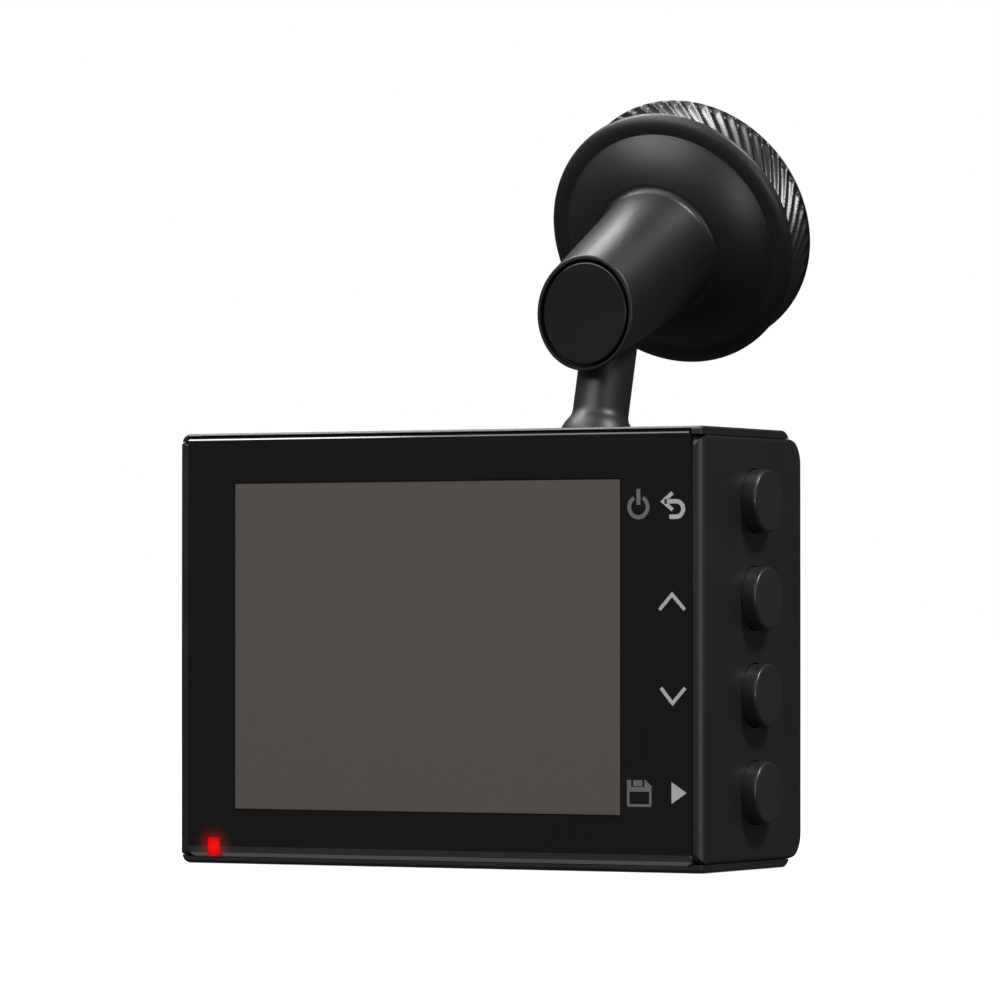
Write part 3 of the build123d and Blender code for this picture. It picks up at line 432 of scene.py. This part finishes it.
NODE_MATERIALS = {
    HOUSING: ["main_shell", "right_end_cap", "left_end_cap", "front_cover"],
    BUTTON: ["button_select", "button_down", "button_up", "button_back"],
    ARM: ["mount_arm", "socket_cup", "base_plate"],
    SHADE_DARKENED_CAP: ["barrel_cap"],
    RING: ["lock_ring"],
    PAD: ["adhesive_pad", "glass_tape"],
    GLASS: ["cover_glass"],
    INNER: ["display_frame", "lens_holder", "card_socket", "switches", "speaker"],
    LENS_BLACK: ["lens_bezel", "lens_barrel"],
    LENS_GLASS: ["front_lens", "rear_lens"],
    STEEL: ["clamp_screw", "spring_washer", "holding_magnet", "socket_retainer",
            "retainer_screws", "cover_screws", "board_screws", "processor_shield",
            "usb_socket", "microphone"],
    BOARD: ["main_board", "button_board", "sensor_board"],
    DISPLAY: ["lcd_panel"],
    WHITE_SHEET: ["backlight"],
    SENSOR: ["image_sensor"],
    BATTERY: ["battery"],
    RED: ["light_pipe", "status_led"],
    CARD: ["memory_card"],
}
for material, names in NODE_MATERIALS.items():
    for name in names:
        mesh = frame["nodes"][name].data
        mesh.materials.clear()
        mesh.materials.append(material)


# ---------------------------------------------------------------- mesh helpers
def piece(name, bm, body, material, replaces=(), crease=35.0):
    """Finished mesh as a piece that rides a body, smooth except at its creases."""
    bmesh.ops.recalc_face_normals(bm, faces=bm.faces)
    mesh = bpy.data.meshes.new(name)
    bm.to_mesh(mesh)
    bm.free()
    mesh.polygons.foreach_set("use_smooth", [True] * len(mesh.polygons))
    mesh.set_sharp_from_angle(angle=math.radians(crease))
    mesh.materials.append(material)
    obj = bpy.data.objects.new(name, mesh)
    bpy.context.scene.collection.objects.link(obj)
    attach(obj, body)
    if replaces:
        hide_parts(*replaces)
    return obj


def grid_faces(bm, rings):
    """Faces between closed rings of as many points each; the first and last ring join too."""
    for a, b in zip(rings, rings[1:] + rings[:1]):
        for i in range(len(a)):
            j = (i + 1) % len(a)
            bm.faces.new((a[i], a[j], b[j], b[i]))


# ---------------------------------------------------------------- grip ring
def ridge_depth(turn, distance, radius, start):
    """Depth of the groove between ridges at an angle and a distance along the ring, in mm."""
    shift = distance * math.tan(math.radians(RIDGE_SLANT)) / (2 * math.pi * radius)
    phase = (turn / (2 * math.pi) + shift) * RIDGES
    wave = 0.5 + 0.5 * math.cos(2 * math.pi * phase)
    ramp = min(1.0, max(0.0, (distance - start - RIDGE_LIP) / RIDGE_LIP))
    return RIDGE_DEPTH * wave ** RIDGE_SHARPNESS * ramp * ramp * (3 - 2 * ramp)


def ring_outline(start, end, radius):
    """Section of the ring as (radius, distance) points, from its rear edge round to its bore."""
    quarter = [math.radians(90 * step / ROUNDING_STEPS) for step in range(ROUNDING_STEPS + 1)]
    points = [(radius - RING_ROUNDING * (1 - math.sin(t)),
               start + RING_ROUNDING * (1 - math.cos(t))) for t in quarter]
    straight = end - start - 2 * RING_ROUNDING
    points += [(radius, start + RING_ROUNDING + straight * row / RING_ROWS)
               for row in range(1, RING_ROWS)]
    points += [(radius - RING_ROUNDING * (1 - math.cos(t)),
                end - RING_ROUNDING * (1 - math.sin(t))) for t in quarter]
    bore, skirt = radius - RING_WALL, radius - SKIRT_WALL
    return points + [(bore, end), (bore, start + SKIRT_LENGTH),
                     (skirt, start + SKIRT_LENGTH), (skirt, start)]


def grip_ring():
    """The lock ring with rounded slanted ridges, smooth along its rear lip."""
    start, end, radius = (v / MM for v in along_axis("lock_ring"))
    columns = RIDGES * COLUMNS_PER_RIDGE
    innermost_ridged = radius - RING_ROUNDING - 0.01
    up = mount_axis.cross(mount_across)
    bm = bmesh.new()
    rings = []
    for reach, distance in ring_outline(start, end, radius):
        ring = []
        for column in range(columns):
            turn = 2 * math.pi * column / columns
            ridged = reach > innermost_ridged
            cut = ridge_depth(turn, distance, radius, start) if ridged else 0.0
            outward = mount_across * math.cos(turn) + up * math.sin(turn)
            ring.append(bm.verts.new(mount_origin + mount_axis * distance * MM
                                     + outward * (reach - cut) * MM))
        rings.append(ring)
    grid_faces(bm, rings)
    return piece("grip_ring", bm, "lock_ring", RING, ["lock_ring"], crease=60)


# ---------------------------------------------------------------- printed symbols
def plate(bm, outline):
    """Thin closed plate on the glass with this outline, in mm from the housing's centre."""
    front = [bm.verts.new(on_glass(x, z, PRINT_PROUD)) for x, z in outline]
    back = [bm.verts.new(on_glass(x, z, -PRINT_SUNK)) for x, z in outline]
    bm.faces.new(front)
    bm.faces.new(list(reversed(back)))
    for i in range(len(outline)):
        j = (i + 1) % len(outline)
        bm.faces.new((front[i], back[i], back[j], front[j]))


def stroke(bm, points, width):
    """Line of this width through the points, mitred at its corners."""
    left, right = [], []
    for i, point in enumerate(points):
        here = Vector(point)
        before = (here - Vector(points[i - 1])).normalized() if i else None
        after = (Vector(points[i + 1]) - here).normalized() if i + 1 < len(points) else None
        first, second = before or after, after or before
        side = Vector((-(first.y + second.y), first.x + second.x)).normalized()
        reach = width / 2 / max(MITRE_LIMIT, side.dot(Vector((-first.y, first.x))))
        left.append(here + side * reach)
        right.append(here - side * reach)
    front, back = [[[bm.verts.new(on_glass(p.x, p.y, out)) for p in row] for row in (left, right)]
                   for out in (PRINT_PROUD, -PRINT_SUNK)]
    for i in range(len(points) - 1):
        bm.faces.new((front[0][i], front[0][i + 1], front[1][i + 1], front[1][i]))
        bm.faces.new((back[0][i], back[1][i], back[1][i + 1], back[0][i + 1]))
        bm.faces.new((front[0][i], back[0][i], back[0][i + 1], front[0][i + 1]))
        bm.faces.new((front[1][i], front[1][i + 1], back[1][i + 1], back[1][i]))
    for i in (0, -1):
        bm.faces.new((front[0][i], front[1][i], back[1][i], back[0][i]))


def block(bm, left, top, right, bottom):
    """Upright rectangular plate."""
    plate(bm, [(left, top), (right, top), (right, bottom), (left, bottom)])


def arc(centre, radius, start, end, steps=28):
    """Points on an arc, angles in degrees from +X towards +Z."""
    turns = [math.radians(start + (end - start) * i / steps) for i in range(steps + 1)]
    return [(centre[0] + radius * math.cos(t), centre[1] + radius * math.sin(t)) for t in turns]


def power_symbol(bm):
    """Open ring with an upright bar in its gap."""
    middle = 21.30
    stroke(bm, arc((middle, 12.95), 0.94, 118, 422), width=0.38)
    stroke(bm, [(middle, 14.60), (middle, 13.14)], width=0.40)


def return_symbol(bm):
    """Arrow to the left whose tail turns back below it."""
    stroke(bm, [(24.78, 14.22), (23.82, 13.44), (24.78, 12.66)], width=0.36)
    bend = arc((25.15, 12.74), 0.70, 90, -90)[1:]
    stroke(bm, [(23.95, 13.44), (25.15, 13.44)] + bend + [(24.46, 12.04)], width=0.40)


def up_symbol(bm):
    """Open arrowhead pointing up."""
    stroke(bm, [(23.44, 3.60), (24.72, 4.98), (26.00, 3.60)], width=0.33)


def down_symbol(bm):
    """Open arrowhead pointing down."""
    stroke(bm, [(23.58, -3.50), (24.76, -4.90), (26.04, -3.50)], width=0.33)


def save_symbol(bm):
    """Disk: a case with a cut corner, its shutter and its label."""
    left, right, top, bottom = 20.12, 22.62, -11.90, -14.32
    shelf = top - 1.05  # underside of the case's upper part
    slot_left, slot_right, slot_foot = left + 0.42, right - 0.72, top - 0.62
    block(bm, left, top, slot_left, shelf)
    block(bm, slot_left, slot_foot, slot_right, shelf)
    plate(bm, [(slot_right, top), (right - 0.60, top), (right, top - 0.54), (right, shelf),
               (slot_right, shelf)])
    block(bm, left + 0.64, top, right - 0.93, top - 0.54)
    line, cut = 0.24, 0.06  # width of the lower part's outline, and its cut corners
    block(bm, left, shelf, left + line, bottom + line)
    block(bm, right - line, shelf, right, bottom + line)
    plate(bm, [(left, bottom + line), (right, bottom + line), (right - cut, bottom),
               (left + cut, bottom)])


def play_symbol(bm):
    """Solid triangle pointing right."""
    plate(bm, [(24.65, -12.03), (26.17, -13.02), (24.65, -14.02)])


BRIGHT_INK = ink("light_grey_ink", (0.52, 0.52, 0.52))
DIM_INK = ink("dim_grey_ink", (0.16, 0.16, 0.16))


def symbols():
    """The six function symbols printed beside the display."""
    for name, draw, material in (
        ("symbol_power", power_symbol, DIM_INK),
        ("symbol_return", return_symbol, BRIGHT_INK),
        ("symbol_up", up_symbol, BRIGHT_INK),
        ("symbol_down", down_symbol, BRIGHT_INK),
        ("symbol_save", save_symbol, DIM_INK),
        ("symbol_play", play_symbol, BRIGHT_INK),
    ):
        bm = bmesh.new()
        draw(bm)
        piece(name, bm, "camera", material, crease=20)


# ---------------------------------------------------------------- stage, light and camera
def stage_piece(name, bm, material):
    """Part of the set: the camera sees it, and it sends no light to the object."""
    mesh = bpy.data.meshes.new(name)
    bm.to_mesh(mesh)
    bm.free()
    mesh.materials.append(material)
    obj = bpy.data.objects.new(name, mesh)
    bpy.context.scene.collection.objects.link(obj)
    obj.visible_glossy = False
    obj.visible_diffuse = False
    obj.visible_transmission = False
    return obj


def pale(name, color, glow):
    """Plain pale surface; glow is its strength near the object and far from it."""
    s = Shader(name, color, 0.9)
    s.set("Specular IOR Level", 0.0)
    s.set("Emission Color", (1.0, 1.0, 1.0, 1.0))
    away = s.add("ShaderNodeVectorMath")
    away.operation = "LENGTH"
    s.feed(away.inputs[0], s.place)
    s.set("Emission Strength", s.spread(away.outputs["Value"], NEAR, FAR, *glow))
    s.set("Base Color", s.mix(s.noise(0.3), scaled(color, 0.99), color))
    return s.material


def studio():
    """Plain pale floor under the object and a pale dome round it."""
    floor = bmesh.new()
    bmesh.ops.create_circle(floor, cap_ends=True, segments=96, radius=FLOOR_RADIUS)
    obj = stage_piece("floor", floor, pale("pale_floor", (0.5, 0.5, 0.5), FLOOR_GLOW))
    obj.location.z = cad_low.z - FLOOR_GAP
    dome = bmesh.new()
    bmesh.ops.create_icosphere(dome, subdivisions=4, radius=DOME_RADIUS)
    obj = stage_piece("backdrop", dome, pale("pale_backdrop", (0.0, 0.0, 0.0), BACKDROP_GLOW))
    obj.visible_shadow = False


def softbox(name, toward, distance, width, height, radiance):
    """Area light facing the object from a direction; radiance sets how bright it looks."""
    lamp = bpy.data.lights.new(name, "AREA")
    lamp.shape = "RECTANGLE"
    lamp.size, lamp.size_y = width, height
    lamp.energy = radiance * math.pi * width * height
    obj = bpy.data.objects.new(name, lamp)
    bpy.context.scene.collection.objects.link(obj)
    direction = Vector(toward).normalized()
    obj.location = Vector(LIGHTS_AIM) + direction * distance
    obj.rotation_mode = "QUATERNION"
    obj.rotation_quaternion = direction.to_track_quat("Z", "Y")
    obj.visible_camera = False


def lights():
    """The set's area lights."""
    for name, measures in LIGHTS.items():
        softbox(name, *measures)


def world():
    """Faint even light from all round."""
    made = bpy.data.worlds.new("studio_world")
    made.use_nodes = True
    background = made.node_tree.nodes["Background"]
    background.inputs["Color"].default_value = (1.0, 1.0, 1.0, 1.0)
    background.inputs["Strength"].default_value = WORLD_STRENGTH
    bpy.context.scene.world = made


def camera():
    """Camera where the photograph was taken from."""
    data = bpy.data.cameras.new("camera")
    data.lens = CAMERA_LENS
    data.sensor_width = CAMERA_SENSOR
    data.clip_start, data.clip_end = CAMERA_CLIP
    obj = bpy.data.objects.new("camera", data)
    bpy.context.scene.collection.objects.link(obj)
    obj.location = CAMERA_PLACE
    obj.rotation_euler = (math.radians(90 + CAMERA_PITCH), 0.0, math.radians(CAMERA_YAW))
    bpy.context.scene.camera = obj


grip_ring()
symbols()
studio()
lights()
world()
camera()
bpy.context.scene.view_settings.view_transform = "Standard"
